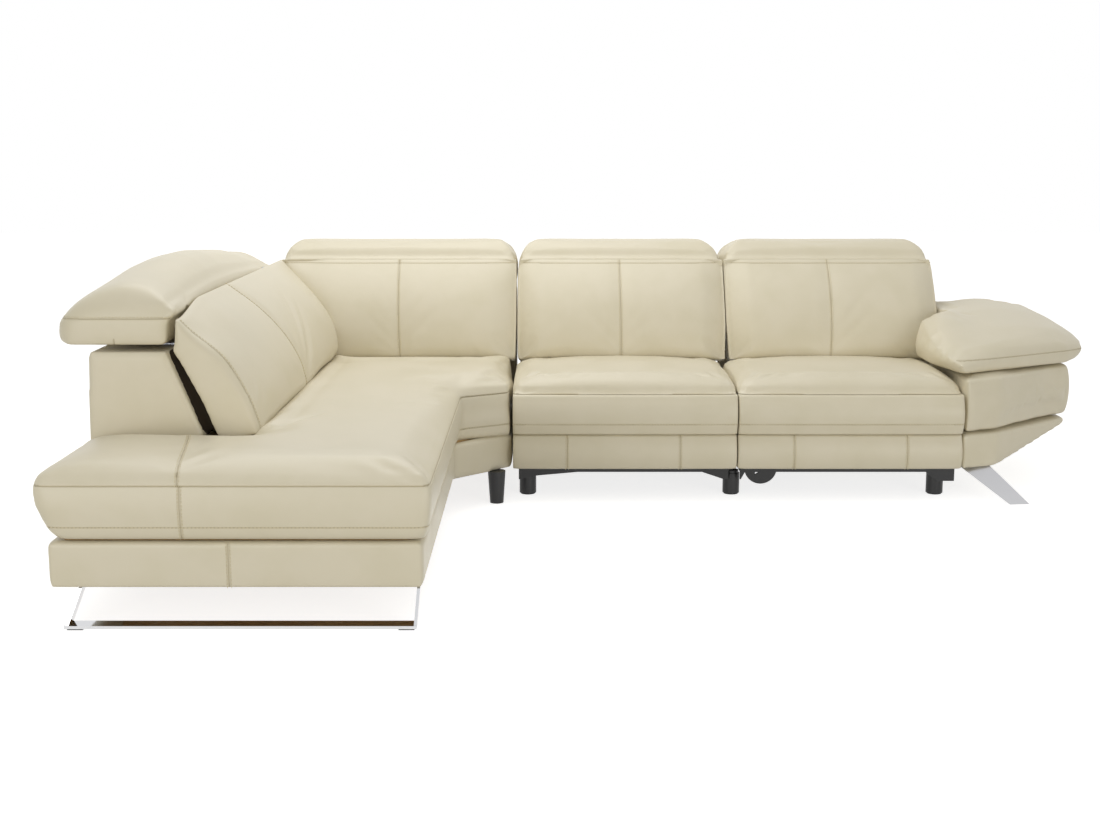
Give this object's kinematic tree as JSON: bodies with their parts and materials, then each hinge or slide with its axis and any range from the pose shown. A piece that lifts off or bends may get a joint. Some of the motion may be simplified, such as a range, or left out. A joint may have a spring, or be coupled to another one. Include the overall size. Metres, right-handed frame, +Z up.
{
  "type": "corner sofa",
  "caption": "Cream leather corner sofa with an open-ended chaise, reclining seats with lifting footrests, tilting headrests and a slanted arm.",
  "frame": {"origin": "on the floor at the centre of the tapered leg at the inside corner of the L", "axes": "+X along the row of seats towards the slanted arm, +Y from the front of the seats to their backs, +Z up; the chaise runs forward along -Y at the -X end"},
  "size_m": [3.2871, 2.4821, 0.836],
  "materials": {
    "cream_leather": "fine grained satin cream leather over foam",
    "timber": "plain sawn softwood and plywood",
    "webbing": "woven elastic webbing",
    "polished_chrome": "mirror polished flat bar",
    "satin_steel": "light satin",
    "black_plastic": "black satin",
    "black_steel": "black satin powder coat",
    "zinc_steel": "dull zinc"
  },
  "bodies": {
    "sofa_base": {"chaise_base_panels": "cream_leather", "chaise_timber_deck": "timber", "chaise_deck_battens": "timber", "chaise_seat_cushion": "cream_leather", "left_back_cushion": "cream_leather", "left_back_shell": "cream_leather", "corner_back_cushion": "cream_leather", "corner_back_shell": "cream_leather", "left_headrest_brackets": "zinc_steel", "corner_headrest_brackets": "zinc_steel", "sled_leg": "polished_chrome", "sled_glides": "black_plastic", "corner_front_leg": "black_plastic", "chaise_rear_legs": "black_plastic", "arm_lower_panel": "cream_leather", "arm_side_panel": "cream_leather", "arm_pad": "cream_leather", "arm_front_leg": "satin_steel", "arm_rear_leg": "black_plastic", "unit_connectors": "black_steel", "mid_steel_base": "black_steel", "mid_feet": "black_plastic", "mid_seat_frame": "timber", "mid_seat_webbing": "webbing", "mid_seat_cushion": "cream_leather", "mid_drive_rail": "black_steel", "right_steel_base": "black_steel", "right_feet": "black_plastic", "right_seat_frame": "timber", "right_seat_webbing": "webbing", "right_seat_cushion": "cream_leather", "right_drive_rail": "black_steel"},
    "left_headrest": {"left_headrest_pad": "cream_leather", "left_headrest_rod": "zinc_steel"},
    "corner_headrest": {"corner_headrest_pad": "cream_leather", "corner_headrest_rod": "zinc_steel"},
    "mid_back": {"mid_back_shell": "cream_leather", "mid_back_cushion": "cream_leather", "mid_back_arms": "black_steel", "mid_headrest_brackets": "zinc_steel"},
    "mid_headrest": {"mid_headrest_pad": "cream_leather", "mid_headrest_rod": "zinc_steel"},
    "mid_rear_link_pair": {"mid_rear_links": "zinc_steel"},
    "mid_front_link_pair": {"mid_front_links": "zinc_steel"},
    "mid_footrest": {"mid_footrest_pan": "black_steel", "mid_footrest_pad": "cream_leather", "mid_footrest_panel": "cream_leather"},
    "mid_drive_slider": {"mid_drive_block": "black_steel"},
    "right_back": {"right_back_shell": "cream_leather", "right_back_cushion": "cream_leather", "right_back_arms": "black_steel", "right_headrest_brackets": "zinc_steel"},
    "right_headrest": {"right_headrest_pad": "cream_leather", "right_headrest_rod": "zinc_steel"},
    "right_rear_link_pair": {"right_rear_links": "zinc_steel"},
    "right_front_link_pair": {"right_front_links": "zinc_steel"},
    "right_footrest": {"right_footrest_pan": "black_steel", "right_footrest_pad": "cream_leather", "right_footrest_panel": "cream_leather"},
    "right_drive_slider": {"right_drive_block": "black_steel"}
  },
  "joints": [
    {"name": "left_headrest_tilt", "type": "hinge", "parent": "sofa_base", "child": "left_headrest", "pos_m": [-0.867, 0, 0.75], "axis": [0, 1, 0], "range_deg": [0, 80]},
    {"name": "corner_headrest_tilt", "type": "hinge", "parent": "sofa_base", "child": "corner_headrest", "pos_m": [-0.4, 0.782, 0.75], "axis": [1, 0, 0], "range_deg": [0, 80]},
    {"name": "mid_back_recline", "type": "hinge", "parent": "sofa_base", "child": "mid_back", "pos_m": [0.4355, 0.73, 0.33], "axis": [-1, 0, 0], "range_deg": [0, 28]},
    {"name": "mid_headrest_tilt", "type": "hinge", "parent": "mid_back", "child": "mid_headrest", "pos_m": [0.4355, 0.782, 0.75], "axis": [1, 0, 0], "range_deg": [0, 80]},
    {"name": "mid_footrest_lift", "type": "hinge", "parent": "sofa_base", "child": "mid_rear_link_pair", "pos_m": [0.4355, 0.205, 0.28], "axis": [-1, 0, 0], "range_deg": [0, 58]},
    {"name": "mid_knee", "type": "hinge", "parent": "mid_rear_link_pair", "child": "mid_front_link_pair", "pos_m": [0.4355, 0.16871, 0.13446], "axis": [-1, 0, 0], "range_deg": [-116, 0]},
    {"name": "mid_footrest_turn", "type": "hinge", "parent": "mid_front_link_pair", "child": "mid_footrest", "pos_m": [0.4355, 0.10296, 0.26927], "axis": [-1, 0, 0], "range_deg": [0, 148]},
    {"name": "mid_drive_slide", "type": "slide", "parent": "sofa_base", "child": "mid_drive_slider", "axis": [0, -1, 0], "range_m": [0, 0.11655]},
    {"name": "right_back_recline", "type": "hinge", "parent": "sofa_base", "child": "right_back", "pos_m": [1.2005, 0.73, 0.33], "axis": [-1, 0, 0], "range_deg": [0, 28]},
    {"name": "right_headrest_tilt", "type": "hinge", "parent": "right_back", "child": "right_headrest", "pos_m": [1.2005, 0.782, 0.75], "axis": [1, 0, 0], "range_deg": [0, 80]},
    {"name": "right_footrest_lift", "type": "hinge", "parent": "sofa_base", "child": "right_rear_link_pair", "pos_m": [1.2005, 0.205, 0.28], "axis": [-1, 0, 0], "range_deg": [0, 58]},
    {"name": "right_knee", "type": "hinge", "parent": "right_rear_link_pair", "child": "right_front_link_pair", "pos_m": [1.2005, 0.16871, 0.13446], "axis": [-1, 0, 0], "range_deg": [-116, 0]},
    {"name": "right_footrest_turn", "type": "hinge", "parent": "right_front_link_pair", "child": "right_footrest", "pos_m": [1.2005, 0.10296, 0.26927], "axis": [-1, 0, 0], "range_deg": [0, 148]},
    {"name": "right_drive_slide", "type": "slide", "parent": "sofa_base", "child": "right_drive_slider", "axis": [0, -1, 0], "range_m": [0, 0.11655]}
  ],
  "couplings": [
    {"joint": "mid_knee", "follows": "mid_footrest_lift", "ratio": -2},
    {"joint": "mid_footrest_turn", "follows": "mid_footrest_lift", "ratio": 2.5517},
    {"joint": "mid_drive_slide", "follows": "mid_footrest_lift", "m_per_rad": 0.11494},
    {"joint": "right_knee", "follows": "right_footrest_lift", "ratio": -2},
    {"joint": "right_footrest_turn", "follows": "right_footrest_lift", "ratio": 2.5517},
    {"joint": "right_drive_slide", "follows": "right_footrest_lift", "m_per_rad": 0.11494}
  ]
}
